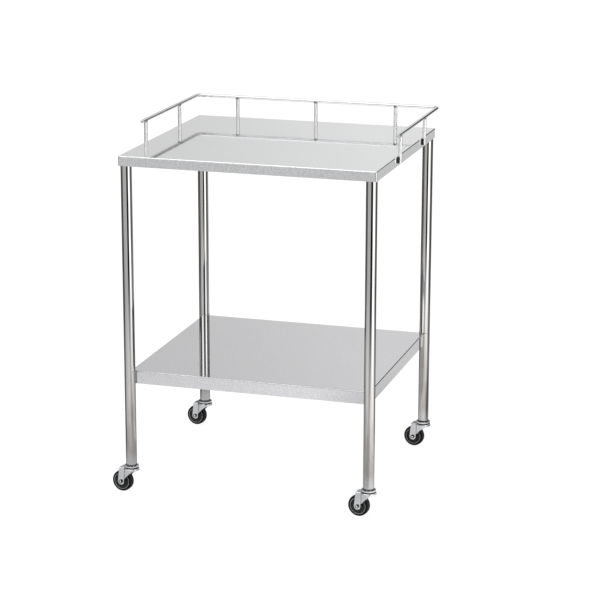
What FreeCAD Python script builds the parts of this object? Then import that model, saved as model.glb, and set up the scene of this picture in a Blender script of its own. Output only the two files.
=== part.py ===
import FreeCAD, Part
import math
import os
import re
import Sketcher
from FreeCAD import Placement, Rotation, Vector

# Instrument table: a sheet steel top and shelf on four tube legs with swivel casters.
# The origin is on the floor under the middle of the top, X to the right along the
# front edge, Y to the back and Z up. All sizes are in millimetres and degrees.

SIZES = {
    # top and shelf
    "top_height": 800.0,
    "top_width": 600.0,
    "top_depth": 550.0,
    "top_edge": 23.0,
    "shelf_height": 294.0,
    "shelf_edge": 30.0,
    "shelf_setback": 5.0,
    "sheet": 1.2,
    "bend_radius": 2.5,
    "corner_radius": 3.0,
    "lip": 9.0,
    "lip_end": 34.0,
    "stiffener_crown": 40.0,
    "stiffener_brim": 14.0,
    "stiffener_depth": 13.0,
    "stiffener_end_gap": 2.0,
    # legs
    "tube_radius": 12.7,
    "tube_wall": 1.2,
    "tube_foot": 67.0,
    "tube_roll": 3.5,
    "leg_gap": 0.3,
    "weld_gap": 0.05,
    # guard rail
    "rod_radius": 4.0,
    "rod_rounding": 1.8,
    "rail_rise": 49.0,
    "rail_bend": 12.0,
    "rail_front": 109.0,
    "post_radius": 4.0,
    "post_drop": 18.0,
    "post_horn": 2.2,
    "front_post": 84.0,
    "middle_post": 146.0,
    "back_post_spread": 200.0,
    # caster as a whole
    "caster_heading": 9.0,
    "trail": 23.0,
    "wheel_radius": 25.0,
    # fork
    "crown_height": 57.5,
    "crown_radius": 18.3,
    "fork_sheet": 2.0,
    "fork_bend": 2.4,
    "fork_crease": 2.5,
    "fork_gap": 9.2,
    "fork_rear": 27.5,
    "fork_lobe": 8.0,
    "fork_knee_step": 1.1,
    "fork_knee_rise": 4.0,
    "fork_knee_round": 8.0,
    "fork_slant_round": 80.0,
    "fork_nose_reach": 12.0,
    "fork_rim_drop": 3.0,
    # swivel bearing
    "ball_radius": 1.8,
    "ball_count": 12.0,
    "race_radius": 11.2,
    "ball_seat": 0.5,
    "race_clearance": 0.15,
    "cap_clearance": 0.3,
    "race_gap": 2.4,
    "cap_radius": 17.0,
    "cap_sheet": 2.0,
    "cap_bend": 1.6,
    "cap_wall": 4.1,
    "cap_rise": 4.4,
    "pin_radius": 5.0,
    "pin_clearance": 0.08,
    "press_gap": 0.05,
    "pin_head_radius": 8.0,
    "pin_head": 3.0,
    "head_clearance": 0.3,
    "pin_point": 1.0,
    "neck_radius": 8.8,
    "insert_fit": 0.1,
    "insert_length": 34.0,
    # axle and wheel
    "axle_radius": 2.5,
    "axle_fit": 0.1,
    "thread_end": 0.8,
    "nut_flats": 8.0,
    "nut_height": 3.6,
    "hex_chamfer": 0.5,
    "sleeve_radius": 4.0,
    "sleeve_end_gap": 0.05,
    "bore_clearance": 0.06,
    "boss_radius": 7.5,
    "boss_half": 8.75,
    "web_half": 5.6,
    "dish_radius": 16.8,
    "dish_slope": 1.2,
    "rim_half": 8.0,
    "hub_radius": 19.6,
    "rib_height": 1.2,
    "rib_half": 3.0,
    "tyre_fit": 0.05,
    "tyre_half": 8.5,
    "shoulder": 3.0,
    "tread_drop": 0.4,
}

LEFT_RIGHT = {"left": -1, "right": 1}
FRONT_BACK = {"front": -1, "back": 1}

# Positions that several pieces share, written with the names above
LEG_X = "(top_width / 2 - sheet - leg_gap - tube_radius)"
LEG_Y = "(top_depth / 2 - sheet - leg_gap - tube_radius)"
RAIL_X = "(top_width / 2 + weld_gap + rod_radius)"
RAIL_Y = "(top_depth / 2 + weld_gap + rod_radius)"
RAIL_Z = "(top_height + rail_rise)"
CROWN_TOP = "(crown_height + fork_sheet)"
BALL_Z = "(crown_height + fork_sheet - ball_seat + ball_radius)"
CAP_LOW = "(crown_height + fork_sheet + race_gap)"
CAP_TOP = "(crown_height + fork_sheet + race_gap + cap_rise)"
PLATE_OUT = "(fork_gap + fork_sheet)"
NUT_CORNER = "(nut_flats / sqrt(3))"

doc = FreeCAD.newDocument("instrument_table")
sheet = doc.addObject("Spreadsheet::Sheet", "sizes")
nodes = []


def fill_sheet():
    """One row for each driving size: its name, its value and the value's alias."""
    for row, (name, size) in enumerate(SIZES.items(), start=1):
        sheet.set(f"A{row}", name)
        sheet.set(f"B{row}", str(size))
        sheet.setAlias(f"B{row}", name)
    doc.recompute()


def cells(text):
    """The expression with each size's name turned into a reference to the sheet."""
    return re.sub(r"[a-z_]{3,}", lambda word: "sizes." + word[0] if word[0] in SIZES else word[0], text)


def value(text):
    """The number that an expression has now."""
    return float(sheet.evalExpression(cells(text)))


def bind(thing, prop, text):
    thing.setExpression(prop, cells(text))


def new_body(name, x="0", y="0", heading=None):
    """A sub-part's body, at its place in the table; a heading turns it about its own Z."""
    body = doc.addObject("PartDesign::Body", name)
    body.Label = name
    if heading:
        body.Placement = Placement(Vector(), Rotation(Vector(0, 0, 1), value(heading)))
        bind(body, "Placement.Rotation.Angle", heading)
    bind(body, "Placement.Base.x", x)
    bind(body, "Placement.Base.y", y)
    nodes.append(body)
    return body


def new_sketch(body, plane, name, along="0", x="0", y="0"):
    """A sketch on one of the body's origin planes, moved along its normal and in its plane."""
    sketch = body.newObject("Sketcher::SketchObject", f"{body.Name}_{name}")
    support = [f for f in body.Origin.OriginFeatures if f.Role == plane + "_Plane"][0]
    sketch.AttachmentSupport = [(support, "")]
    sketch.MapMode = "FlatFace"
    bind(sketch, "AttachmentOffset.Base.x", x)
    bind(sketch, "AttachmentOffset.Base.y", y)
    bind(sketch, "AttachmentOffset.Base.z", along)
    return sketch


def hold(sketch, kind, geometry, point, text):
    """A distance from the sketch's origin to a point, bound to the sheet."""
    index = sketch.addConstraint(Sketcher.Constraint(kind, -1, 1, geometry, point, value(text)))
    bind(sketch, f"Constraints[{index}]", text)


def arc_between(start, end, radius):
    """The short arc from start to end; a positive radius turns to the left."""
    chord = end - start
    side = math.copysign(1.0, radius)
    depth = math.sqrt(max(radius ** 2 - chord.Length ** 2 / 4, 0.0))
    normal = Vector(-chord.y, chord.x, 0).normalize()
    centre = (start + end) * 0.5 + normal * depth * side
    first = math.atan2(start.y - centre.y, start.x - centre.x)
    last = math.atan2(end.y - centre.y, end.x - centre.x)
    if side < 0:
        first, last = last, first
    circle = Part.Circle(centre, Vector(0, 0, 1), abs(radius))
    return Part.ArcOfCircle(circle, first, last)


def outline(sketch, corners, closed=True):
    """Lines, or arcs where a corner gives a radius, from each corner to the next."""
    points = [Vector(value(c[0]), value(c[1]), 0) for c in corners]
    count = len(corners) if closed else len(corners) - 1
    ends = []
    for i in range(count):
        start, end = points[i], points[(i + 1) % len(points)]
        if len(corners[i]) == 3:
            radius = value(corners[i][2])
            index = sketch.addGeometry(arc_between(start, end, radius), False)
            ends.append((index, 1, 2) if radius > 0 else (index, 2, 1))
            rule = sketch.addConstraint(Sketcher.Constraint("Radius", index, abs(radius)))
            bind(sketch, f"Constraints[{rule}]", f"abs({corners[i][2]})")
        else:
            index = sketch.addGeometry(Part.LineSegment(start, end), False)
            ends.append((index, 1, 2))
    for i, (index, first, last) in enumerate(ends):
        hold(sketch, "DistanceX", index, first, corners[i][0])
        hold(sketch, "DistanceY", index, first, corners[i][1])
        if closed or i + 1 < count:
            following = ends[(i + 1) % count]
            sketch.addConstraint(Sketcher.Constraint("Coincident", index, last, following[0], following[1]))
        else:
            hold(sketch, "DistanceX", index, last, corners[-1][0])
            hold(sketch, "DistanceY", index, last, corners[-1][1])
    return [f"Edge{index + 1}" for index, first, last in ends]


def rectangle(sketch, x1, y1, x2, y2):
    outline(sketch, [(x1, y1), (x2, y1), (x2, y2), (x1, y2)])


def circle(sketch, x, y, radius):
    centre = Vector(value(x), value(y), 0)
    index = sketch.addGeometry(Part.Circle(centre, Vector(0, 0, 1), value(radius)), False)
    hold(sketch, "DistanceX", index, 3, x)
    hold(sketch, "DistanceY", index, 3, y)
    rule = sketch.addConstraint(Sketcher.Constraint("Radius", index, value(radius)))
    bind(sketch, f"Constraints[{rule}]", radius)


def hexagon(sketch, x, y, corner):
    """Six corners about a centre, with two flats level."""
    turns = [60 * i for i in range(6)]
    outline(sketch, [(f"{x} + {corner} * cos({a})", f"{y} + {corner} * sin({a})") for a in turns])


def pad(body, sketch, length, symmetric=False):
    feature = body.newObject("PartDesign::Pad", sketch.Name + "_pad")
    feature.Profile = sketch
    feature.Midplane = symmetric
    bind(feature, "Length", length)
    doc.recompute()
    return feature


def cut(body, sketch, length=None):
    """A pocket to both sides of its sketch, through everything unless a length is given."""
    before = body.Tip.Shape.Volume
    feature = body.newObject("PartDesign::Pocket", sketch.Name + "_pocket")
    feature.Profile = sketch
    feature.Midplane = True
    if length:
        bind(feature, "Length", length)
    else:
        feature.Type = "ThroughAll"
    doc.recompute()
    if body.Tip.Shape.Volume >= before:
        raise RuntimeError(f"{feature.Name} removes nothing")
    return feature


def turn(body, sketch, kind="Revolution"):
    """A full turn of the sketch about its upright axis, added or, as a Groove, taken away."""
    feature = body.newObject("PartDesign::" + kind, sketch.Name + "_turn")
    feature.Profile = sketch
    feature.ReferenceAxis = (sketch, ["V_Axis"])
    feature.Angle = 360
    doc.recompute()
    return feature


def edges_where(shape, test):
    """Names of the edges whose two ends and middle all pass the test."""
    found = []
    for i, edge in enumerate(shape.Edges, start=1):
        middle = edge.valueAt((edge.FirstParameter + edge.LastParameter) / 2)
        if all(test(p) for p in [v.Point for v in edge.Vertexes] + [middle]):
            found.append(f"Edge{i}")
    return found


def round_edges(body, edges, radius):
    base = body.Tip
    feature = body.newObject("PartDesign::Fillet", f"{body.Name}_round{len(body.Group)}")
    feature.Base = (base, edges)
    bind(feature, "Radius", radius)
    doc.recompute()
    return feature


def hollow(body, faces, wall):
    """The body made into a shell of the wall's thickness, open at the named faces."""
    base = body.Tip
    feature = body.newObject("PartDesign::Thickness", body.Name + "_shell")
    feature.Base = (base, faces)
    feature.Mode = "Skin"
    feature.Join = "Intersection"
    feature.Reversed = True
    bind(feature, "Value", wall)
    doc.recompute()
    return feature


def faces_at(shape, axis, level):
    """Names of the flat faces that lie at a level along an axis."""
    found = []
    for i, face in enumerate(shape.Faces, start=1):
        low, high = face.BoundBox.getPoint(0), face.BoundBox.getPoint(6)
        if abs(low[axis] - level) < 1e-4 and abs(high[axis] - level) < 1e-4:
            found.append(f"Face{i}")
    return found


def near(a, b):
    return abs(a - b) < 1e-3


# Sheet steel top and shelf

def pressed_tray(name, half_x, half_y, height, edge):
    """A sheet with a turned-down edge all round and lips turned in along its lower rim."""
    body = new_body(name)
    plan = new_sketch(body, "XY", "plan", f"{height} - {edge}")
    rectangle(plan, f"-{half_x}", f"-{half_y}", half_x, half_y)
    pad(body, plan, edge)
    top = value(height)
    low = value(f"{height} - {edge}")
    upright = edges_where(body.Tip.Shape, lambda p: low - 1 < p.z < top + 1)
    corners = [e for e in upright if near(body.Tip.Shape.getElement(e).Length, top - low)]
    round_edges(body, corners, "corner_radius")
    round_edges(body, edges_where(body.Tip.Shape, lambda p: near(p.z, top)), "bend_radius")
    hollow(body, faces_at(body.Tip.Shape, 2, low), "sheet")
    add_lips(body, half_x, half_y, f"{height} - {edge}")
    return body


def add_lips(body, half_x, half_y, low):
    """Four lips folded inwards, each ending short of the legs in the corners."""
    lips = new_sketch(body, "XY", "lips", low)
    outer = "sheet / 2"
    inner = "(sheet + lip)"
    for side in (-1, 1):
        rectangle(lips, f"-({half_x} - lip_end)", f"{side} * ({half_y} - {outer})",
                  f"{half_x} - lip_end", f"{side} * ({half_y} - {inner})")
        rectangle(lips, f"{side} * ({half_x} - {outer})", f"-({half_y} - lip_end)",
                  f"{side} * ({half_x} - {inner})", f"{half_y} - lip_end")
    pad(body, lips, "sheet")


def table_top():
    pressed_tray("table_top", "(top_width / 2)", "(top_depth / 2)", "top_height", "top_edge")


def lower_shelf():
    """The shelf's side faces lie on the legs' centre lines, and its corners are notched round the tubes."""
    body = pressed_tray("lower_shelf", LEG_X, f"({LEG_Y} - shelf_setback)", "shelf_height", "shelf_edge")
    notches = new_sketch(body, "XY", "notches", "shelf_height")
    for side_x in LEFT_RIGHT.values():
        for side_y in FRONT_BACK.values():
            circle(notches, f"{side_x} * {LEG_X}", f"{side_y} * {LEG_Y}", "tube_radius + weld_gap")
    cut(body, notches)


def stiffener(name, half_width, height):
    """A hat section welded under a sheet, from edge to edge."""
    body = new_body(name)
    under = f"({height} - sheet)"
    wall = "stiffener_crown / 2"
    brim = "(stiffener_crown / 2 + stiffener_brim)"
    floor = f"({under} - stiffener_depth)"
    section = new_sketch(body, "YZ", "section")
    right = [(wall, floor), (wall, f"{under} - sheet"), (brim, f"{under} - sheet"), (brim, under),
             (f"{wall} - sheet", under), (f"{wall} - sheet", f"{floor} + sheet")]
    left = [(f"-({x})", z) for x, z in reversed(right)]
    outline(section, right + left)
    pad(body, section, f"2 * ({half_width} - sheet - stiffener_end_gap)", symmetric=True)


# Legs

def leg(name, side_x, side_y):
    """A round tube whose lower end is rolled in round the caster's insert."""
    body = new_body(name, f"{side_x} * {LEG_X}", f"{side_y} * {LEG_Y}")
    wall = new_sketch(body, "XZ", "wall")
    opening = "tube_radius - tube_roll"
    roll_top = "tube_foot + tube_roll"
    head = "top_height - sheet"
    outline(wall, [
        (opening, "tube_foot", "tube_roll"),
        ("tube_radius", roll_top),
        ("tube_radius", head),
        ("tube_radius - tube_wall", head),
        ("tube_radius - tube_wall", roll_top, "-(tube_roll - tube_wall)"),
        (opening, "tube_foot + tube_wall"),
    ])
    turn(body, wall)


# Guard rail

def guard_rail():
    """A rod bent to a U round the back of the top, with its two ends free."""
    body = new_body("guard_rail")
    path = new_sketch(body, "XY", "path", RAIL_Z)
    route = outline(path, [
        (f"-{RAIL_X}", "-rail_front"),
        (f"-{RAIL_X}", f"{RAIL_Y} - rail_bend", "-rail_bend"),
        (f"-{RAIL_X} + rail_bend", RAIL_Y),
        (f"{RAIL_X} - rail_bend", RAIL_Y, "-rail_bend"),
        (RAIL_X, f"{RAIL_Y} - rail_bend"),
        (RAIL_X, "-rail_front"),
    ], closed=False)
    end = new_sketch(body, "XZ", "end", "rail_front")
    circle(end, f"-{RAIL_X}", RAIL_Z, "rod_radius")
    rod = body.newObject("PartDesign::AdditivePipe", "guard_rail_rod")
    rod.Profile = end
    rod.Spine = (path, route)
    doc.recompute()
    front = value("-rail_front")
    round_edges(body, edges_where(body.Tip.Shape, lambda p: near(p.y, front)), "rod_rounding")


def rail_post(name, x, y, quarter_turn):
    """A rod welded to the outside of the edge, coped at its head to fit under the rail."""
    body = new_body(name, x, y, "90" if quarter_turn else None)
    rod = new_sketch(body, "XY", "rod", "top_height - post_drop")
    circle(rod, "0", "0", "post_radius")
    pad(body, rod, "post_drop + rail_rise - post_horn")
    foot = value("top_height - post_drop")
    round_edges(body, edges_where(body.Tip.Shape, lambda p: near(p.z, foot)), "rod_rounding")
    cope = new_sketch(body, "XZ", "cope")
    circle(cope, "0", RAIL_Z, "rod_radius + weld_gap")
    cut(body, cope)


def rail_posts():
    for side, sign in LEFT_RIGHT.items():
        rail_post(f"rail_post_{side}_front", f"{sign} * {RAIL_X}", "-front_post", False)
        rail_post(f"rail_post_{side}_middle", f"{sign} * {RAIL_X}", "middle_post", False)
        rail_post(f"rail_post_back_{side}", f"{sign} * back_post_spread", RAIL_Y, True)
    rail_post("rail_post_back_centre", "0", RAIL_Y, True)


# Caster: each body's own origin is on the floor under the swivel, the wheel on its -X side

class Caster:
    """The pieces of one caster, all at one corner and turned to one heading."""

    def __init__(self, corner, side_x, side_y):
        self.corner = corner
        self.place = (f"{side_x} * {LEG_X}", f"{side_y} * {LEG_Y}")

    def body(self, piece):
        return new_body(f"{piece}_{self.corner}", *self.place, heading="-caster_heading")

    def axle_sketch(self, body, name):
        """A sketch seen from above whose upright axis is the axle."""
        return new_sketch(body, "XY", name, along="wheel_radius", x="-trail")

    def build(self):
        self.insert()
        self.kingpin()
        self.race_cap()
        self.race_balls()
        self.fork()
        self.axle_bolt()
        self.axle_nut()
        self.wheel_sleeve()
        self.wheel_hub()
        self.tyre()

    def insert(self):
        """A bush held in the tube, with a neck that comes out through the rolled end."""
        body = self.body("caster_insert")
        bore = "pin_radius + press_gap"
        shoulder = "tube_foot + tube_roll + weld_gap"
        outer = "tube_radius - tube_wall - insert_fit"
        wall = new_sketch(body, "XZ", "wall")
        outline(wall, [
            (bore, CAP_TOP),
            ("neck_radius", CAP_TOP),
            ("neck_radius", shoulder),
            (outer, shoulder),
            (outer, f"{shoulder} + insert_length"),
            (bore, f"{shoulder} + insert_length"),
        ])
        turn(body, wall)

    def kingpin(self):
        """The pin from its head under the crown up into the insert."""
        body = self.body("kingpin")
        head_top = "(crown_height - head_clearance)"
        tip = "(tube_foot + tube_roll + insert_length)"
        half = new_sketch(body, "XZ", "half")
        outline(half, [
            ("0", f"{head_top} - pin_head"),
            ("pin_head_radius - pin_point", f"{head_top} - pin_head"),
            ("pin_head_radius", f"{head_top} - pin_head + pin_point"),
            ("pin_head_radius", head_top),
            ("pin_radius", head_top),
            ("pin_radius", f"{tip} - pin_point"),
            ("pin_radius - pin_point", tip),
            ("0", tip),
        ])
        turn(body, half)

    def race_cap(self):
        """A dish fixed on the pin, its rim turned up, with a groove for the balls underneath."""
        body = self.body("race_cap")
        bore = "pin_radius + press_gap"
        rim = f"{CAP_LOW} + cap_wall"
        floor = f"{CAP_LOW} + cap_sheet"
        half = new_sketch(body, "XZ", "half")
        outline(half, [
            (bore, CAP_LOW),
            ("cap_radius - cap_bend", CAP_LOW, "cap_bend"),
            ("cap_radius", f"{CAP_LOW} + cap_bend"),
            ("cap_radius", rim),
            ("cap_radius - cap_sheet", rim),
            ("cap_radius - cap_sheet", floor),
            ("neck_radius", floor),
            ("neck_radius", CAP_TOP),
            (bore, CAP_TOP),
        ])
        turn(body, half)
        groove = new_sketch(body, "XZ", "groove")
        circle(groove, "race_radius", BALL_Z, "ball_radius + cap_clearance")
        turn(body, groove, "Groove")

    def race_balls(self):
        """Loose balls in a ring, each a solid of its own."""
        body = self.body("race_balls")
        half = new_sketch(body, "XZ", "half", x="race_radius", y=BALL_Z)
        outline(half, [("0", "-ball_radius", "ball_radius"), ("ball_radius", "0", "ball_radius"), ("0", "ball_radius")])
        ball = turn(body, half)
        ring = body.newObject("PartDesign::PolarPattern", body.Name + "_ring")
        ring.Originals = [ball]
        ring.Axis = ([f for f in body.Origin.OriginFeatures if f.Role == "Z_Axis"][0], [""])
        ring.Angle = 360
        bind(ring, "Occurrences", "ball_count")
        body.Tip = ring
        doc.recompute()

    def fork(self):
        """A pressed fork: a round crown, a skirt cut on a slant and two leg plates."""
        body = self.body("fork")
        self.fork_blank(body)
        self.fork_profile(body)
        self.fork_holes(body)

    def fork_plan(self, sketch, radius, half, crease, rear):
        """Seen from above, a disc about the swivel that runs through round creases into two straight sides."""
        neck = f"-sqrt(({radius} + {crease}) ^ 2 - ({half} + {crease}) ^ 2)"
        share = f"{radius} / ({radius} + {crease})"
        flare = (f"{neck} * {share}", f"({half} + {crease}) * {share}")
        outline(sketch, [
            (rear, f"-{half}"),
            (neck, f"-{half}", f"-{crease}"),
            (flare[0], f"-{flare[1]}", radius),
            (radius, "0", radius),
            (flare[0], flare[1], f"-{crease}"),
            (neck, half),
            (rear, half),
        ])

    def fork_blank(self, body):
        """The crown and its skirt before the slant is cut: a shell open below and behind."""
        rear = "-(trail + fork_lobe + fork_bend)"
        low = "(wheel_radius - fork_lobe - fork_sheet)"
        plan = new_sketch(body, "XY", "plan", low)
        self.fork_plan(plan, "crown_radius", PLATE_OUT, "fork_crease", rear)
        pad(body, plan, f"{CROWN_TOP} - {low}")
        top = value(CROWN_TOP)
        back = value(rear)
        rim = edges_where(body.Tip.Shape, lambda p: near(p.z, top) and p.x > back - 1)
        ends = edges_where(body.Tip.Shape, lambda p: near(p.x, back))
        round_edges(body, [e for e in rim if e not in ends], "fork_bend")
        inside = new_sketch(body, "XY", "inside", "crown_height / 2")
        self.fork_plan(inside, "(crown_radius - fork_sheet)", "fork_gap", "(fork_crease + fork_sheet)",
                       f"2 * {rear}")
        cut(body, inside, "crown_height")

    def fork_profile(self, body):
        """All that lies outside the fork's side view is cut away."""
        side = new_sketch(body, "XZ", "side")
        front = "(crown_radius + fork_sheet)"
        above = f"({CROWN_TOP} + fork_sheet)"
        rectangle(side, "-(trail + wheel_radius)", "0", f"{front} + fork_sheet", f"{above} + fork_sheet")
        outline(side, [
            (front, "crown_height - fork_rim_drop"),
            (front, above),
            ("-fork_rear", above),
            ("-fork_rear", "crown_height"),
            ("-(trail + fork_lobe)", "wheel_radius", "fork_lobe"),
            ("-trail", "wheel_radius - fork_lobe", "fork_lobe"),
            ("-(trail - fork_lobe)", "wheel_radius", "-fork_knee_round"),
            ("-(trail - fork_lobe - fork_knee_step)", "wheel_radius + fork_knee_rise", "-fork_slant_round"),
            ("fork_nose_reach", "crown_height - fork_rim_drop"),
        ])
        cut(body, side)

    def fork_holes(self, body):
        """The kingpin's hole and the ball groove in the crown, and the axle's holes in the leg plates."""
        pin_hole = new_sketch(body, "XY", "pin_hole", CROWN_TOP)
        circle(pin_hole, "0", "0", "pin_radius + pin_clearance")
        cut(body, pin_hole, "4 * fork_sheet")
        groove = new_sketch(body, "XZ", "groove")
        circle(groove, "race_radius", BALL_Z, "ball_radius + race_clearance")
        turn(body, groove, "Groove")
        axle_holes = new_sketch(body, "XZ", "axle_holes")
        circle(axle_holes, "-trail", "wheel_radius", "axle_radius + axle_fit")
        cut(body, axle_holes)

    def axle_bolt(self):
        """A hexagon bolt from the far plate to the nut on the near one."""
        body = self.body("axle_bolt")
        shank = self.axle_sketch(body, "shank")
        tip = f"-({PLATE_OUT} + nut_height + thread_end)"
        outline(shank, [
            ("0", tip),
            ("axle_radius - thread_end", tip),
            ("axle_radius", f"{tip} + thread_end"),
            ("axle_radius", f"{PLATE_OUT} + nut_height / 2"),
            ("0", f"{PLATE_OUT} + nut_height / 2"),
        ])
        turn(body, shank)
        head = new_sketch(body, "XZ", "head", f"-({PLATE_OUT} + nut_height)")
        hexagon(head, "-trail", "wheel_radius", NUT_CORNER)
        pad(body, head, "nut_height")
        outer = value(f"{PLATE_OUT} + nut_height")
        self.break_corners(body, outer)

    def axle_nut(self):
        body = self.body("axle_nut")
        block = new_sketch(body, "XZ", "block", PLATE_OUT)
        hexagon(block, "-trail", "wheel_radius", NUT_CORNER)
        circle(block, "-trail", "wheel_radius", "axle_radius + axle_fit")
        pad(body, block, "nut_height")
        outer = value(f"-({PLATE_OUT} + nut_height)")
        self.break_corners(body, outer)

    def break_corners(self, body, level):
        """A chamfer round the outer face of a hexagon, leaving its bore alone."""
        centre = Vector(value("-trail"), level, value("wheel_radius"))
        reach = value("nut_flats") / 2 - 0.01
        rim = edges_where(body.Tip.Shape, lambda p: near(p.y, level) and (p - centre).Length > reach)
        base = body.Tip
        feature = body.newObject("PartDesign::Chamfer", body.Name + "_chamfer")
        feature.Base = (base, rim)
        bind(feature, "Size", "hex_chamfer")
        doc.recompute()

    def wheel_sleeve(self):
        """The tube that the bolt clamps between the plates and the wheel turns on."""
        body = self.body("wheel_sleeve")
        wall = self.axle_sketch(body, "wall")
        rectangle(wall, "axle_radius + axle_fit", "-(fork_gap - sleeve_end_gap)",
                  "sleeve_radius", "fork_gap - sleeve_end_gap")
        turn(body, wall)

    def wheel_hub(self):
        """A moulded centre with a boss, a dished web and a rib that keeps the tyre on."""
        body = self.body("wheel_hub")
        half = self.axle_sketch(body, "half")
        right = [
            ("sleeve_radius + bore_clearance", "boss_half"),
            ("boss_radius", "boss_half"),
            ("boss_radius + dish_slope", "web_half"),
            ("dish_radius", "web_half"),
            ("dish_radius + dish_slope", "rim_half"),
            ("hub_radius", "rim_half"),
            ("hub_radius", "rib_half + rib_height"),
            ("hub_radius + rib_height", "rib_half"),
        ]
        left = [(x, f"-({y})") for x, y in reversed(right)]
        outline(half, right + left)
        turn(body, half)

    def tyre(self):
        """A rubber ring with a slightly crowned tread and round shoulders, moulded over the rib."""
        body = self.body("tyre")
        seat = "hub_radius + tyre_fit"
        flank = "wheel_radius - tread_drop - shoulder"
        edge = "wheel_radius - tread_drop"
        flat = "(tyre_half - shoulder)"
        crown = f"({flat} ^ 2 + tread_drop ^ 2) / (2 * tread_drop)"
        half = self.axle_sketch(body, "half")
        outline(half, [
            (seat, "-rim_half"),
            (flank, "-tyre_half", "shoulder"),
            (edge, f"-{flat}", crown),
            (edge, flat, "shoulder"),
            (flank, "tyre_half"),
            (seat, "rim_half"),
            (seat, "rib_half + rib_height"),
            (f"{seat} + rib_height", "rib_half"),
            (f"{seat} + rib_height", "-rib_half"),
            (seat, "-(rib_half + rib_height)"),
        ])
        turn(body, half)


def corners():
    """Each corner's name and the signs of its X and Y."""
    for row, side_y in FRONT_BACK.items():
        for side, side_x in LEFT_RIGHT.items():
            yield f"{row}_{side}", side_x, side_y


def check_document():
    """Every object is up to date, and every sub-part has a sound shape."""
    doc.recompute()
    for thing in doc.Objects:
        if "Invalid" in thing.State or "Error" in thing.State:
            raise RuntimeError(f"{thing.Name} failed: {thing.State}")
    for node in nodes:
        if node.Shape.isNull() or not node.Shape.isValid() or not node.Shape.Solids:
            raise RuntimeError(f"{node.Label} has no sound shape")


def write_parts():
    os.makedirs("parts", exist_ok=True)
    for node in nodes:
        node.Shape.exportStep(f"parts/{node.Label}.step")
        print(node.Label, len(node.Shape.Solids), round(node.Shape.Volume, 2))


fill_sheet()
table_top()
stiffener("top_stiffener", "top_width / 2", "top_height")
lower_shelf()
stiffener("shelf_stiffener", LEG_X, "shelf_height")
guard_rail()
rail_posts()
for corner_name, corner_x, corner_y in corners():
    leg(f"leg_{corner_name}", corner_x, corner_y)
    Caster(corner_name, corner_x, corner_y).build()
check_document()
write_parts()
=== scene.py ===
import math

import bmesh
import bpy
from mathutils import Matrix, Vector, noise

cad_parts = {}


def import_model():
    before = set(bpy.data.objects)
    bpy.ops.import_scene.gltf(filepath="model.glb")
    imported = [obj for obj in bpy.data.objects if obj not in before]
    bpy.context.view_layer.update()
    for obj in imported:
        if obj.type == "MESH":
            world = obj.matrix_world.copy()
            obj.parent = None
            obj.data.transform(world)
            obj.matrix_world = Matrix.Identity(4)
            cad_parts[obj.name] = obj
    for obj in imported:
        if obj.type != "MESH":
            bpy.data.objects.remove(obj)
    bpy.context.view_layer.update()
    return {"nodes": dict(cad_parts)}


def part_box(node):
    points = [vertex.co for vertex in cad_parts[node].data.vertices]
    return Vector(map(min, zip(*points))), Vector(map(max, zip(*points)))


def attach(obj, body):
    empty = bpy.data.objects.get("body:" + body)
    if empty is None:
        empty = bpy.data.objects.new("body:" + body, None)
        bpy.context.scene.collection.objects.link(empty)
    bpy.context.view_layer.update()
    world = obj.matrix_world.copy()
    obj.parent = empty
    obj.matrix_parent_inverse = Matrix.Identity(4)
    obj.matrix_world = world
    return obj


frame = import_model()

# Instrument table in polished stainless steel. Lengths are in metres, in the model's own
# frame: the origin on the floor under the middle of the top, +Y to the back, +Z up.

CORNERS = ("front_left", "front_right", "back_left", "back_right")
POSTS = [name for name in frame["nodes"] if name.startswith("rail_post")]
CASTER_HEADING = math.radians(9.0)
ROD_RADIUS = 0.0040
RAIL_AXIS = 0.849

# Marks on the metal: the heights where each begins and is full, and its colour
STAIN_FROM, STAIN_FULL = 0.40, 0.10
STAIN_COLOUR = (0.42, 0.395, 0.365, 1.0)
# A pale bluish band near each tube's lower rim
PALE_BAND_FROM, PALE_BAND_FULL = 0.125, 0.088
PALE_BAND_COLOUR = (0.74, 0.75, 0.78, 1.0)
# Painted shade at each post's head, darkest under the rail
UNDER_RAIL_SHADE_FROM, UNDER_RAIL_SHADE_FULL = 0.8435, 0.8475
UNDER_RAIL_SHADE_COLOUR = (0.16, 0.13, 0.10, 1.0)

# Marks on the wheels, by their distance from the axle
TREAD_FROM, TREAD_FULL = 0.0235, 0.0248
# A pale ring on each hub's rim: a painted highlight
RIM_FROM, RIM_FULL = 0.0176, 0.0181
RIM_END, RIM_FADE = 0.0199, 0.0194
TYRE_RINGS = 9000.0

# Weld beads: their sides, the distance between rings, and how their girth changes
BEAD_SIDES = 10
BEAD_STEP = 0.0004
RIPPLE_LENGTH, RIPPLE_SWELL = 0.0012, 0.10
LUMP_SCALE, LUMP_SWELL = 900.0, 0.28
END_GIRTHS = {0: 0.45, 1: 0.85}
THIN_BEAD, LEG_BEAD, FOOT_BEAD = 0.0008, 0.0009, 0.0016
# Round each post's head
HEAD_STEPS = 48
HEAD_RADIUS = 0.0041
HEAD_FLUSH = 0.0029
HEAD_REACH = ROD_RADIUS * 0.86
HEAD_DROP = 0.0002
# Beside each post's foot: weld beads made black as painted shade for the dark gap between post and apron
FOOT_INSET, FOOT_SIDE = 0.0030, 0.0037
FOOT_LIFT, FOOT_LENGTH = 0.0004, 0.0152
# Down the shelf's corners beside each leg, round the leg on the shelf, and under the top's edge
SEAM_BESIDE, SEAM_PROUD = 0.0003, 0.0002
SEAM_FROM_LOW, SEAM_FROM_HIGH = 0.002, 0.0025
ARC_FROM, ARC_TURN, ARC_STEPS = 136, 178, 60
ARC_PROUD = 0.0004
TACK_PROUD, TACK_HALF = 0.0005, 0.0035
# Round each tube's lower end: a dark ring that is painted shade for the gap under its rolled end
TUBE_STEPS = 96
TUBE_RING = 0.0120

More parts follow.
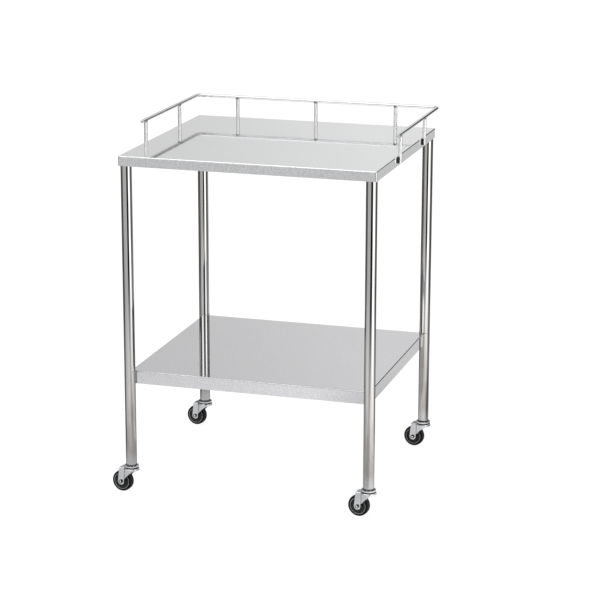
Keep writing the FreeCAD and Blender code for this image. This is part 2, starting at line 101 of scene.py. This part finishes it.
# A dark ring in the gap under each race cap: painted shade
GAP_SHADE_STEPS = 96
GAP_SHADE_INNER, GAP_SHADE_OUTER = 0.0134, 0.0156
GAP_SHADE_LOW, GAP_SHADE_HIGH = 0.05955, 0.06175
GAP_SHADE_CHAMFER, GAP_SHADE_ROUND, GAP_SHADE_WAIST = 0.0003, 0.0005, 0.0004
GAP_SHADE_SAG = 0.0003

# Camera
CAMERA_AT = (1.476, -4.768, 1.7475)
CAMERA_TURN = (75.10, -0.13, 16.743)
CAMERA_LENS = 131.1
CAMERA_SENSOR = 36.0

# Light that dull surfaces get: the world's strength, and lamps by name, place, size and radiance
WORLD_LIGHT = 0.55
LAMPS = (
    ("lamp_above", (-0.6, -0.9, 3.2), 2.2, 1.7),
    ("lamp_left", (-2.6, -2.4, 2.2), 1.4, 1.0),
)
LAMP_TARGET = (0.0, 0.0, 0.4)

# Floor
FLOOR_RADIUS = 14.0
PAPER_COLOUR, PAPER_LIFT = 0.20, 0.92

# Studio that only glossy rays see, in azimuths about the table: 0 towards the camera's place,
# positive to its right. Each pair is an azimuth and a brightness.
STUDIO_RADIUS = 2.3
STUDIO_HEIGHT = 2.2
STUDIO_SEGMENTS = 128
CAMERA_AZIMUTH = math.atan2(CAMERA_AT[1], CAMERA_AT[0])
FADE = 0.05
# Flags and panels at the sides and in front
SIDE_BANDS = [
    (-180, 0.60), (-158, 0.60), (-150, 0.02), (-118, 0.02), (-114, 0.30), (-101, 0.30), (-97, 0.02),
    (-82, 0.02), (-72, 0.62), (-30, 0.69), (-10, 0.64), (-6, 0.01), (22, 0.01), (28, 0.90), (35, 2.2),
    (62, 2.2), (68, 0.60), (82, 0.50), (86, 0.08), (116, 0.08), (130, 0.66), (180, 0.66),
]
# Above them the wall that the back legs show in the shelf, and a strip over it with one dark flag
UPPER_BANDS = [
    (-180, 0.90), (-100, 0.85), (-98, 0.0), (-72, 0.0), (-70, 0.90), (-55, 1.0), (-51, 2.6), (-29, 2.4),
    (-24, 0.95), (-10, 0.90), (-8, 0.0), (19, 0.0), (21, 0.90), (36, 1.0), (40, 2.8), (60, 2.8),
    (65, 0.85), (81, 0.85), (83, 0.0), (109, 0.0), (111, 0.75), (180, 0.80),
]
UPPER_FROM = 0.88
STRIP_BANDS = [(-180, 0.85), (-55, 0.85), (-52, 0.04), (-27, 0.04), (-24, 0.85), (180, 0.85)]
STRIP_FROM = 1.24
# The backdrop behind the table: a dark flag, and over it the part that the flat sheets mirror
BACK_FROM, BACK_TO = 122, 132
BACK_FLAG_LOW, BACK_FLAG_HIGH = 0.47, 0.76
FLAG_SIDE_HIGH = 1.32
FLAG_SIDE, FLAG_MIDDLE = 157, 165
BACK_FLAG_LIGHT = 0.06
BACK_UPPER = [(-180, 0.82), (-172, 0.76), (-130, 0.70), (130, 0.90), (172, 0.88), (180, 0.82)]
# The paper under and round the table, darker in its shade
PAPER_NEAR, PAPER_FAR = 0.95, 2.3
PAPER_BANDS = [
    (-180, 0.50), (-136, 0.45), (-128, 0.12), (-118, 0.12), (-114, 0.45), (-101, 0.45), (-97, 0.12),
    (-90, 0.12), (-78, 0.80), (-50, 0.95), (-22, 1.15), (-12, 0.80), (10, 0.75), (28, 1.45), (66, 1.45),
    (84, 0.70), (97, 0.15), (109, 0.15), (118, 0.90), (180, 0.55),
]
MIDDLE_BANDS = [(-180, 0.95), (-20, 0.85), (10, 0.85), (30, 1.4), (75, 1.4), (95, 0.95), (180, 0.95)]
MIDDLE_NEAR, MIDDLE_FAR = 0.45, 0.70
SHADE_NEAR, SHADE_FAR = 0.55, 1.15
SHADE_LIGHT = 0.68
# The room above the wall, with two soft boxes
CEILING_BANDS = [
    (-180, 0.75), (-74, 0.75), (-60, 0.90), (-26, 0.90), (-12, 0.50), (20, 0.50), (32, 1.1), (64, 1.1),
    (76, 0.70), (180, 0.75),
]
CEILING_RISE = (0.70, 0.76)
CEILING_LIGHT = 0.66


# Helpers for node trees and objects

class Tree:
    """A node tree being made: each call adds a node, sets its plain inputs and links its others."""

    def __init__(self, owner):
        owner.use_nodes = True
        self.tree = owner.node_tree
        self.tree.nodes.clear()

    def give(self, socket, given):
        if isinstance(given, bpy.types.NodeSocket):
            self.tree.links.new(given, socket)
        else:
            socket.default_value = given

    def add(self, kind, inputs=None, **settings):
        node = self.tree.nodes.new(kind)
        for key, setting in settings.items():
            setattr(node, key, setting)
        for key, given in (inputs or {}).items():
            self.give(node.inputs[key], given)
        return node

    def math(self, operation, *operands):
        return self.add("ShaderNodeMath", dict(enumerate(operands)), operation=operation).outputs[0]

    def ramp(self, factor, stops):
        """Greys along a factor from 0 to 1."""
        node = self.add("ShaderNodeValToRGB", {"Fac": factor})
        elements = node.color_ramp.elements
        while len(elements) < len(stops):
            elements.new(0.5)
        for element, (place, level) in zip(elements, stops):
            element.position = place
            element.color = grey(level)
        return node.outputs["Color"]

    def span(self, value, low, high, to_low=0.0, to_high=1.0):
        """A value carried from one range to another, smoothly at both ends."""
        return self.add("ShaderNodeMapRange", {
            "Value": value, "From Min": low, "From Max": high, "To Min": to_low, "To Max": to_high,
        }, interpolation_type="SMOOTHSTEP").outputs["Result"]

    def noise(self, vector, scale, detail=2.0, roughness=0.5):
        return self.add("ShaderNodeTexNoise", {
            "Vector": vector, "Scale": scale, "Detail": detail, "Roughness": roughness,
        }).outputs["Fac"]

    def mix(self, factor, first, second):
        node = self.add("ShaderNodeMix", data_type="RGBA")
        for key, given in (("Factor_Float", factor), ("A_Color", first), ("B_Color", second)):
            self.give([s for s in node.inputs if s.identifier == key][0], given)
        return [s for s in node.outputs if s.identifier == "Result_Color"][0]

    def bump(self, height, distance):
        bump = self.add("ShaderNodeBump", {"Height": height, "Distance": distance, "Strength": 1.0})
        return bump.outputs["Normal"]

    def place(self):
        return self.add("ShaderNodeTexCoord").outputs["Object"]

    def split(self, vector):
        return self.add("ShaderNodeSeparateXYZ", {"Vector": vector}).outputs


def grey(level):
    return (level, level, level, 1.0)


def new_material(name):
    material = bpy.data.materials.new(name)
    return material, Tree(material)


def finish_material(tree, kind, inputs):
    """The last shader of a material, and its output."""
    shader = tree.add(kind, inputs)
    tree.add("ShaderNodeOutputMaterial", {"Surface": shader.outputs[0]})


def finish_dull(tree, shade, roughness, specular, height, depth):
    """The last shader of a rubber, plastic or grease, with a little relief."""
    finish_material(tree, "ShaderNodeBsdfPrincipled", {
        "Base Color": shade, "Roughness": roughness, "Specular IOR Level": specular,
        "Normal": tree.bump(height, depth),
    })


def stretched(tree, coordinates, x, y, z):
    """The coordinates stretched along each axis."""
    return tree.add("ShaderNodeMapping", {"Vector": coordinates, "Scale": (x, y, z)}).outputs["Vector"]


def add_object(name, data):
    item = bpy.data.objects.new(name, data)
    bpy.context.scene.collection.objects.link(item)
    return item


def mesh_object(name, mesh, material):
    """An object made from a bmesh, which is freed."""
    data = bpy.data.meshes.new(name)
    mesh.to_mesh(data)
    mesh.free()
    data.materials.append(material)
    return add_object(name, data)


def new_piece(name, mesh, material, body):
    """A piece made from a bmesh, smooth all over, that rides on a body."""
    bmesh.ops.recalc_face_normals(mesh, faces=mesh.faces)
    for face in mesh.faces:
        face.smooth = True
    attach(mesh_object(name, mesh, material), body)


def direction(step, steps):
    """The level direction at one step of a full circle."""
    angle = math.tau * step / steps
    return Vector((math.cos(angle), math.sin(angle), 0.0))


def leg_box(corner):
    """A leg's box and its middle, which is on the leg's centre line."""
    low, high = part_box(f"leg_{corner}")
    return low, high, (low + high) / 2


# Metals

def steel(name, colour, rough, mottle=0.03, grain=(1.0, 1.0, 1.0), grain_scale=900.0, grain_bump=0.00002,
          cloud=9.0, rough_change=0.5, edge=1.0, stain_and_shade=None, contrast=(0.0, 1.0)):
    """Polished or brushed steel: faint clouds in colour, a fine grain in gloss and height."""
    material, tree = new_material(name)
    place = tree.place()
    clouds = tree.noise(place, cloud, 4.0, 0.6)
    fine = tree.noise(stretched(tree, place, *grain), grain_scale, 2.0)
    dark = tuple(c * (1 - mottle) for c in colour)
    light = tuple(min(c * (1 + mottle), 1.0) for c in colour)
    speckle = tree.span(fine, *contrast)
    shade = tree.mix(tree.math("MULTIPLY_ADD", speckle, 0.75, tree.math("MULTIPLY", clouds, 0.25)),
                     (*dark, 1.0), (*light, 1.0))
    # Marks real stains on the legs, and painted shade under the rail on the posts
    if stain_and_shade:
        shade = stain_and_shade(tree, place, shade)
    gloss = tree.math("MULTIPLY_ADD", clouds, rough * rough_change, rough * (1 - rough_change / 2))
    # An edge below 1 darkens the reflection at grazing angles: painted shade for dark edges
    finish_material(tree, "ShaderNodeBsdfPrincipled", {
        "Base Color": shade, "Metallic": 1.0, "Roughness": gloss, "Specular Tint": grey(edge),
        "Normal": tree.bump(fine, grain_bump),
    })
    return material


def foot_stain(tree, place, shade):
    """A warm dullness towards the tube's lower end, in soft patches, and a pale bluish band near its rim."""
    height = tree.split(place)["Z"]
    low = tree.span(height, STAIN_FROM, STAIN_FULL)
    patches = tree.span(tree.noise(stretched(tree, place, 1.0, 1.0, 0.35), 60.0, 4.0), 0.35, 0.7)
    amount = tree.math("MULTIPLY", tree.math("MULTIPLY_ADD", patches, 0.5, 0.4), low)
    dull = tree.mix(amount, shade, STAIN_COLOUR)
    ragged = tree.math("MULTIPLY_ADD", tree.noise(place, 260.0, 3.0), 0.03, height)
    pale_band = tree.math("MULTIPLY", tree.span(ragged, PALE_BAND_FROM, PALE_BAND_FULL), 0.6)
    return tree.mix(pale_band, dull, PALE_BAND_COLOUR)


def under_rail_shade(tree, place, shade):
    """Painted shade under the rail: a dark brown band at a post's head, darkest where the rail sits, with a
    ragged lower edge.
    """
    height = tree.split(place)["Z"]
    ragged = tree.math("MULTIPLY_ADD", tree.noise(place, 700.0, 3.0), 0.004, height)
    head = tree.math("MULTIPLY", tree.span(ragged, UNDER_RAIL_SHADE_FROM, UNDER_RAIL_SHADE_FULL), 0.75)
    return tree.mix(head, shade, UNDER_RAIL_SHADE_COLOUR)


def patchy_metal(name, scale, detail, edges, dark, light, metallic, roughness):
    """Two shades in patches: for coated metal, and for metal darkened as painted shade."""
    material, tree = new_material(name)
    patches = tree.span(tree.noise(tree.place(), scale, detail), *edges)
    finish_material(tree, "ShaderNodeBsdfPrincipled", {
        "Base Color": tree.mix(patches, dark, light), "Metallic": metallic, "Roughness": roughness,
    })
    return material


# Plastics, rubber and grease

def wheel_radius_nodes(tree, node):
    """The distance from the axle, for a round piece whose box centre is on its axle, and the place."""
    low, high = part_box(node)
    place = tree.add("ShaderNodeTexCoord").outputs["Generated"]
    centred = tree.add("ShaderNodeVectorMath", {0: place, 1: (0.5, 0.5, 0.5)}, operation="SUBTRACT")
    real = tree.add("ShaderNodeVectorMath", {0: centred.outputs[0], 1: tuple(high - low)},
                    operation="MULTIPLY").outputs[0]
    turned = tree.add("ShaderNodeVectorRotate", {"Vector": real, "Angle": CASTER_HEADING},
                      rotation_type="Z_AXIS")
    split = tree.split(turned.outputs[0])
    flat = tree.add("ShaderNodeCombineXYZ", {"X": split["X"], "Y": split["Z"]})
    radius = tree.add("ShaderNodeVectorMath", {0: flat.outputs[0]}, operation="LENGTH").outputs["Value"]
    return radius, real


def rubber():
    """Black tyre rubber with a dull, slightly dusty tread and fine moulding rings on its sides."""
    material, tree = new_material("tyre_rubber")
    radius, place = wheel_radius_nodes(tree, "tyre_front_left")
    speckle = tree.noise(place, 700.0, 3.0)
    tread = tree.span(radius, TREAD_FROM, TREAD_FULL)
    shade = tree.mix(tree.math("MULTIPLY", tree.math("MULTIPLY_ADD", speckle, 0.6, 0.5), tread),
                     (0.008, 0.008, 0.009, 1.0), (0.062, 0.062, 0.064, 1.0))
    ring = tree.math("SINE", tree.math("MULTIPLY", radius, TYRE_RINGS))
    finish_dull(tree, shade, 0.6, 0.12, tree.math("MULTIPLY_ADD", ring, 0.25, speckle), 0.00006)
    return material


def hub_plastic():
    """Dark grey moulded plastic, with a pale ring at its rim that is a painted highlight."""
    material, tree = new_material("hub_plastic")
    radius, place = wheel_radius_nodes(tree, "wheel_hub_front_left")
    speckle = tree.noise(place, 420.0, 3.0)
    rim = tree.math("MULTIPLY", tree.span(radius, RIM_FROM, RIM_FULL), tree.span(radius, RIM_END, RIM_FADE))
    plain = tree.mix(speckle, (0.034, 0.035, 0.035, 1.0), (0.062, 0.064, 0.064, 1.0))
    shade = tree.mix(tree.math("MULTIPLY", rim, 0.9), plain, (0.52, 0.52, 0.52, 1.0))
    finish_dull(tree, shade, 0.5, 0.2, speckle, 0.00005)
    return material


def gap_shade_material():
    """Near-black with a faint relief: painted shade for the gap under each race cap."""
    material, tree = new_material("painted_gap_shade")
    mottling = tree.noise(tree.place(), 900.0, 4.0)
    shade = tree.mix(mottling, (0.003, 0.003, 0.003, 1.0), (0.010, 0.009, 0.008, 1.0))
    finish_dull(tree, shade, 0.55, 0.1, mottling, 0.0003)
    return material


def dress():
    """One material for each kind of piece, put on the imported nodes."""
    sheet = steel("polished_sheet", (0.745, 0.75, 0.76), 0.05, mottle=0.13, grain_bump=0.0000005,
                  grain_scale=340.0, contrast=(0.30, 0.70))
    shelf = steel("shelf_sheet", (0.62, 0.62, 0.635), 0.03, mottle=0.12, grain_bump=0.0000008,
                  grain_scale=320.0, contrast=(0.30, 0.70))
    inner = steel("satin_sheet", (0.60, 0.60, 0.61), 0.30, grain=(0.05, 1.0, 1.0), grain_bump=0.00001)
    tube = steel("leg_tube", (0.58, 0.57, 0.56), 0.045, mottle=0.06, grain=(1.0, 1.0, 0.12),
                 grain_scale=1400.0, grain_bump=0.000002, cloud=24.0, edge=0.2, stain_and_shade=foot_stain)
    rod = steel("rail_rod", (0.72, 0.72, 0.725), 0.07, grain_bump=0.000001, edge=0.9)
    # The posts' heads get painted shade under the rail
    post = steel("post_rod", (0.97, 0.97, 0.97), 0.32, grain_bump=0.000002, edge=0.15, stain_and_shade=under_rail_shade)
    zinc = steel("zinc_plate", (0.83, 0.84, 0.86), 0.16, mottle=0.12, cloud=160.0, grain_bump=0.000008,
                 edge=0.5)
    plain = steel("turned_steel", (0.50, 0.50, 0.51), 0.25, grain=(1.0, 1.0, 8.0))
    # The balls are darkened as painted shade for the dark race gap
    balls = patchy_metal("shade_darkened_ball_steel", 600.0, 3.0, (0.4, 0.7), (0.010, 0.009, 0.008, 1.0),
                         (0.10, 0.095, 0.085, 1.0), 0.4, 0.3)
    black = patchy_metal("black_steel", 500.0, 4.0, (0.55, 0.8), (0.012, 0.012, 0.013, 1.0),
                         (0.06, 0.06, 0.06, 1.0), 0.6, 0.38)
    looks = {"table_top": sheet, "lower_shelf": shelf, "top_stiffener": inner, "shelf_stiffener": inner,
             "guard_rail": rod}
    looks.update({name: post for name in POSTS})
    kinds = {"leg": tube, "caster_insert": plain, "kingpin": plain, "race_cap": zinc, "race_balls": balls,
             "fork": zinc, "axle_bolt": zinc, "axle_nut": black, "wheel_sleeve": plain,
             "wheel_hub": hub_plastic(), "tyre": rubber()}
    for corner in CORNERS:
        looks.update({f"{kind}_{corner}": material for kind, material in kinds.items()})
    for name, material in looks.items():
        slots = frame["nodes"][name].data.materials
        slots.clear()
        slots.append(material)


# Welds, and a dark ring of painted shade at each tube's foot

def bead(mesh, points, radius, seed):
    """A lumpy weld bead along a line of points: a thin tube whose girth swells at every ripple."""
    rings = []
    run = 0.0
    last = len(points) - 1
    for number, point in enumerate(points):
        before, after = points[max(number - 1, 0)], points[min(number + 1, last)]
        along = (after - before).normalized()
        if rings:
            across = (across - along * across.dot(along)).normalized()
            run += (point - points[number - 1]).length
        else:
            across = along.orthogonal().normalized()
        other = along.cross(across)
        girth = radius * END_GIRTHS.get(min(number, last - number), 1.0)
        girth *= 1.0 + RIPPLE_SWELL * math.cos(math.tau * run / RIPPLE_LENGTH)
        ring = []
        for side in range(BEAD_SIDES):
            angle = math.tau * side / BEAD_SIDES
            away = across * math.cos(angle) + other * math.sin(angle)
            lump = noise.noise((point + away * radius) * LUMP_SCALE + Vector((seed * 3.7, 0.0, seed * 1.3)))
            ring.append(mesh.verts.new(point + away * girth * (1.0 + LUMP_SWELL * lump)))
        rings.append(ring)
    for low, high in zip(rings, rings[1:]):
        for side in range(BEAD_SIDES):
            following = (side + 1) % BEAD_SIDES
            mesh.faces.new((low[side], low[following], high[following], high[side]))
    mesh.faces.new(list(reversed(rings[0])))
    mesh.faces.new(rings[-1])


def line(start, end):
    """Points from start to end, close enough together for a bead."""
    count = max(int((end - start).length / BEAD_STEP), 3)
    return [start.lerp(end, number / count) for number in range(count + 1)]


def posts():
    """For each post: its foot's height, its middle, and the directions outwards and along the rail."""
    for name in POSTS:
        low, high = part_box(name)
        behind = name.startswith("rail_post_back")
        outward = Vector((0, 1, 0)) if behind else Vector((math.copysign(1, low.x), 0, 0))
        along = Vector((1, 0, 0)) if behind else Vector((0, 1, 0))
        yield low.z, (low + high) / 2, outward, along


def head_beads(mesh):
    """A saddle of weld round each post's head, where the rail lies on it."""
    for seed, (_, middle, outward, along) in enumerate(posts()):
        head = []
        for step in range(HEAD_STEPS + 1):
            angle = math.tau * step / HEAD_STEPS
            sideways = max(min(HEAD_RADIUS * math.sin(angle), HEAD_REACH), -HEAD_REACH)
            level = RAIL_AXIS - math.sqrt(ROD_RADIUS ** 2 - sideways ** 2) - HEAD_DROP
            head.append(Vector((middle.x, middle.y, level)) + along * HEAD_RADIUS * math.cos(angle)
                        + outward * min(HEAD_RADIUS * math.sin(angle), HEAD_FLUSH))
        bead(mesh, head, THIN_BEAD, seed)


def foot_beads(mesh):
    """A run of weld down both sides of each post's foot, on the top's edge; the beads are black as painted
    shade for the dark gap there.
    """
    for seed, (foot_level, middle, outward, along) in enumerate(posts()):
        for side in (-1, 1):
            foot = Vector((middle.x, middle.y, 0.0)) - outward * FOOT_INSET + along * side * FOOT_SIDE
            low_end = foot + Vector((0, 0, foot_level + FOOT_LIFT))
            bead(mesh, line(low_end, low_end + Vector((0, 0, FOOT_LENGTH))), FOOT_BEAD, seed + 20 * side)


def leg_beads(mesh):
    """Welds where the shelf meets each leg, and two tacks under the top's edge."""
    shelf_low, shelf_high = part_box("lower_shelf")
    top_low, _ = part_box("table_top")
    for seed, corner in enumerate(CORNERS):
        low, high, axis = leg_box(corner)
        right, back = math.copysign(1, axis.x), math.copysign(1, axis.y)
        radius = (high.x - low.x) / 2
        reach = shelf_high.y - abs(axis.y)
        chord = math.sqrt(radius ** 2 - reach ** 2)
        seam = (-(chord + SEAM_BESIDE), reach + SEAM_PROUD)
        tack = (0.0, radius + TACK_PROUD)
        half = (TACK_HALF, 0.0)
        # The second turn swaps x and y, for the corner's other side
        for turn, order in enumerate((1, -1)):
            x, y = seam[::order]
            foot = Vector((axis.x + right * x, axis.y + back * y, 0.0))
            start, end = shelf_low.z + SEAM_FROM_LOW, shelf_high.z - SEAM_FROM_HIGH
            bead(mesh, line(foot + Vector((0, 0, start)), foot + Vector((0, 0, end))), LEG_BEAD,
                 seed + 7 * turn)
            x, y = tack[::order]
            middle = Vector((axis.x + right * x, axis.y + back * y, top_low.z))
            spread = Vector((*half[::order], 0.0))
            bead(mesh, line(middle - spread, middle + spread), LEG_BEAD, seed + 11 * turn)
        arc = []
        for step in range(ARC_STEPS + 1):
            angle = math.radians(ARC_FROM + ARC_TURN * step / ARC_STEPS)
            arc.append(Vector((axis.x + right * (radius + ARC_PROUD) * math.cos(angle),
                               axis.y + back * (radius + ARC_PROUD) * math.sin(angle), shelf_high.z)))
        bead(mesh, arc, THIN_BEAD, seed + 30)


def tube_beads(mesh):
    """A dark ring where each tube's rolled end sits on its caster: painted shade for the dark gap there."""
    for seed, corner in enumerate(CORNERS):
        low, _, axis = leg_box(corner)
        middle = Vector((axis.x, axis.y, low.z))
        ring = [middle + direction(step, TUBE_STEPS) * TUBE_RING for step in range(TUBE_STEPS + 1)]
        bead(mesh, ring, THIN_BEAD, seed + 50)


def welds():
    fine = {"cloud": 420.0, "grain_bump": 0.00002, "grain_scale": 1500.0}
    plain = steel("weld_metal", (0.60, 0.585, 0.56), 0.24, mottle=0.25, edge=0.6, **fine)
    # Weld scale on the rail's saddles; painted shade in the dark ring at each tube's foot
    scale_and_shade = steel("weld_scale_and_painted_shade", (0.15, 0.14, 0.13), 0.34, mottle=0.45, edge=0.6, **fine)
    # Black: painted shade for the dark gap beside each post's foot
    black = steel("weld_in_painted_shade", (0.030, 0.030, 0.033), 0.40, mottle=0.5, **fine)
    for name, make, material in (("rail_welds", head_beads, scale_and_shade), ("post_welds", foot_beads, black),
                                 ("leg_welds", leg_beads, plain), ("tube_foot_shade", tube_beads, scale_and_shade)):
        mesh = bmesh.new()
        make(mesh)
        new_piece(name, mesh, material, "table")


# Casters

def gap_shade_rings():
    """A dark ring that fills the gap between the fork and the race cap: painted shade for the shadow there.
    """
    material = gap_shade_material()
    profile = [
        (GAP_SHADE_INNER, GAP_SHADE_LOW), (GAP_SHADE_OUTER - GAP_SHADE_CHAMFER, GAP_SHADE_LOW),
        (GAP_SHADE_OUTER, GAP_SHADE_LOW + GAP_SHADE_ROUND),
        (GAP_SHADE_OUTER - GAP_SHADE_WAIST, (GAP_SHADE_LOW + GAP_SHADE_HIGH) / 2),
        (GAP_SHADE_OUTER, GAP_SHADE_HIGH - GAP_SHADE_ROUND),
        (GAP_SHADE_OUTER - GAP_SHADE_CHAMFER, GAP_SHADE_HIGH), (GAP_SHADE_INNER, GAP_SHADE_HIGH),
    ]
    for seed, corner in enumerate(CORNERS):
        _, _, axis = leg_box(corner)
        mesh = bmesh.new()
        rings = []
        for step in range(GAP_SHADE_STEPS):
            away = direction(step, GAP_SHADE_STEPS)
            sag = GAP_SHADE_SAG * noise.noise(away * 4.0 + Vector((seed * 5.1, 0.0, 0.0)))
            rings.append([mesh.verts.new(Vector((axis.x, axis.y, level)) + away * (
                radius + (sag if radius > GAP_SHADE_INNER else 0.0))) for radius, level in profile])
        for ring, following in zip(rings, rings[1:] + rings[:1]):
            for side in range(len(profile)):
                after = (side + 1) % len(profile)
                mesh.faces.new((ring[side], following[side], following[after], ring[after]))
        new_piece(f"gap_shade_ring_{corner}", mesh, material, f"swivel_{corner}")


# Studio

def azimuth_nodes(tree, place):
    """How far round from the camera's place a point lies, 0.5 towards it, and the point's height."""
    split = tree.split(place)
    angle = tree.math("ARCTAN2", split["Y"], split["X"])
    from_camera = tree.math("SUBTRACT", angle, CAMERA_AZIMUTH)
    turns = tree.math("FRACT", tree.math("MULTIPLY_ADD", from_camera, 1 / math.tau, 0.5))
    return turns, split["Z"]


def bands(tree, turns, stops):
    """The studio's brightness by azimuth, as polished steel sees it."""
    return tree.ramp(turns, [((azimuth + 180) / 360, light) for azimuth, light in stops])


def wall_material():
    """Panels all the way up at the sides; behind, a dark flag between a low and a high bright part."""
    material, tree = new_material("studio_wall")
    turns, height = azimuth_nodes(tree, tree.place())
    upper = tree.mix(tree.span(height, STRIP_FROM, STRIP_FROM + FADE), bands(tree, turns, UPPER_BANDS),
                     bands(tree, turns, STRIP_BANDS))
    sides = tree.mix(tree.span(height, UPPER_FROM, UPPER_FROM + FADE), bands(tree, turns, SIDE_BANDS), upper)
    away = tree.math("ABSOLUTE", tree.math("SUBTRACT", turns, 0.5))
    flag_high = tree.span(away, FLAG_SIDE / 360, FLAG_MIDDLE / 360, FLAG_SIDE_HIGH, BACK_FLAG_HIGH)
    flag = tree.mix(tree.span(height, BACK_FLAG_LOW, BACK_FLAG_LOW + FADE), sides, grey(BACK_FLAG_LIGHT))
    above = tree.span(height, flag_high, tree.math("ADD", flag_high, FADE))
    back = tree.mix(above, flag, bands(tree, turns, BACK_UPPER))
    light = tree.mix(tree.span(away, BACK_FROM / 360, BACK_TO / 360), sides, back)
    finish_material(tree, "ShaderNodeEmission", {"Color": light, "Strength": 1.0})
    return material


def studio_wall():
    """A low round wall that only polished steel sees: flags and soft panels round the table."""
    mesh = bmesh.new()
    bmesh.ops.create_cone(mesh, cap_ends=False, segments=STUDIO_SEGMENTS, radius1=STUDIO_RADIUS,
                          radius2=STUDIO_RADIUS, depth=STUDIO_HEIGHT,
                          matrix=Matrix.Translation((0, 0, STUDIO_HEIGHT / 2)))
    wall = mesh_object("studio_wall", mesh, wall_material())
    wall.visible_camera = False
    wall.visible_diffuse = False
    wall.visible_shadow = False
    wall.visible_transmission = False


def paper_material():
    """White to the camera with a soft shadow, and a brightness by place to glossy rays."""
    material, tree = new_material("floor_paper")
    path = tree.add("ShaderNodeLightPath").outputs
    place = tree.place()
    distance = tree.add("ShaderNodeVectorMath", {0: place}, operation="LENGTH").outputs["Value"]
    far = tree.span(distance, PAPER_NEAR, PAPER_FAR)
    turns, _ = azimuth_nodes(tree, place)
    outside = tree.span(distance, MIDDLE_NEAR, MIDDLE_FAR)
    paper_light = tree.mix(outside, bands(tree, turns, MIDDLE_BANDS), bands(tree, turns, PAPER_BANDS))
    seen_by_steel = tree.mix(far, paper_light, bands(tree, turns, SIDE_BANDS))
    shade = tree.span(distance, SHADE_NEAR, SHADE_FAR, SHADE_LIGHT, 1.0)
    steel_view = tree.add("ShaderNodeEmission", {"Color": seen_by_steel, "Strength": shade})
    paper = tree.add("ShaderNodeBsdfDiffuse", {"Color": grey(PAPER_COLOUR)})
    lift = tree.add("ShaderNodeEmission", {"Color": grey(PAPER_LIFT), "Strength": path["Is Camera Ray"]})
    camera_view = tree.add("ShaderNodeAddShader", {0: paper.outputs[0], 1: lift.outputs[0]})
    finish_material(tree, "ShaderNodeMixShader", {
        0: path["Is Glossy Ray"], 1: camera_view.outputs[0], 2: steel_view.outputs[0],
    })
    return material


def floor():
    """White paper under the table."""
    mesh = bmesh.new()
    bmesh.ops.create_circle(mesh, cap_ends=True, segments=STUDIO_SEGMENTS, radius=FLOOR_RADIUS)
    mesh_object("floor", mesh, paper_material())


def world():
    """White to the camera, weaker to dull surfaces, and a room with soft boxes to glossy rays."""
    scene_world = bpy.data.worlds.new("world")
    bpy.context.scene.world = scene_world
    tree = Tree(scene_world)
    path = tree.add("ShaderNodeLightPath").outputs
    shown = tree.math("MAXIMUM", path["Is Camera Ray"],
                      tree.math("MAXIMUM", path["Is Glossy Ray"], path["Is Transmission Ray"]))
    turns, rise = azimuth_nodes(tree, tree.add("ShaderNodeTexCoord").outputs["Generated"])
    room = tree.mix(tree.span(rise, *CEILING_RISE), bands(tree, turns, CEILING_BANDS), grey(CEILING_LIGHT))
    shade = tree.mix(path["Is Glossy Ray"], grey(1.0), room)
    strength = tree.math("MULTIPLY_ADD", shown, 1.0 - WORLD_LIGHT, WORLD_LIGHT)
    light = tree.add("ShaderNodeBackground", {"Color": shade, "Strength": strength})
    tree.add("ShaderNodeOutputWorld", {"Surface": light.outputs[0]})


def camera():
    data = bpy.data.cameras.new("camera")
    data.lens = CAMERA_LENS
    data.sensor_width = CAMERA_SENSOR
    item = add_object("camera", data)
    item.location = CAMERA_AT
    item.rotation_euler = [math.radians(angle) for angle in CAMERA_TURN]
    bpy.context.scene.camera = item


def lamp(name, at, size, radiance):
    """A square soft lamp that looks at the table."""
    data = bpy.data.lights.new(name, "AREA")
    data.shape = "SQUARE"
    data.size = size
    data.energy = radiance * math.pi * size ** 2
    item = add_object(name, data)
    item.location = at
    item.rotation_euler = (Vector(LAMP_TARGET) - Vector(at)).to_track_quat("-Z", "Y").to_euler()


dress()
welds()
gap_shade_rings()
camera()
world()
floor()
studio_wall()
for settings in LAMPS:
    lamp(*settings)
bpy.context.scene.view_settings.view_transform = "Standard"
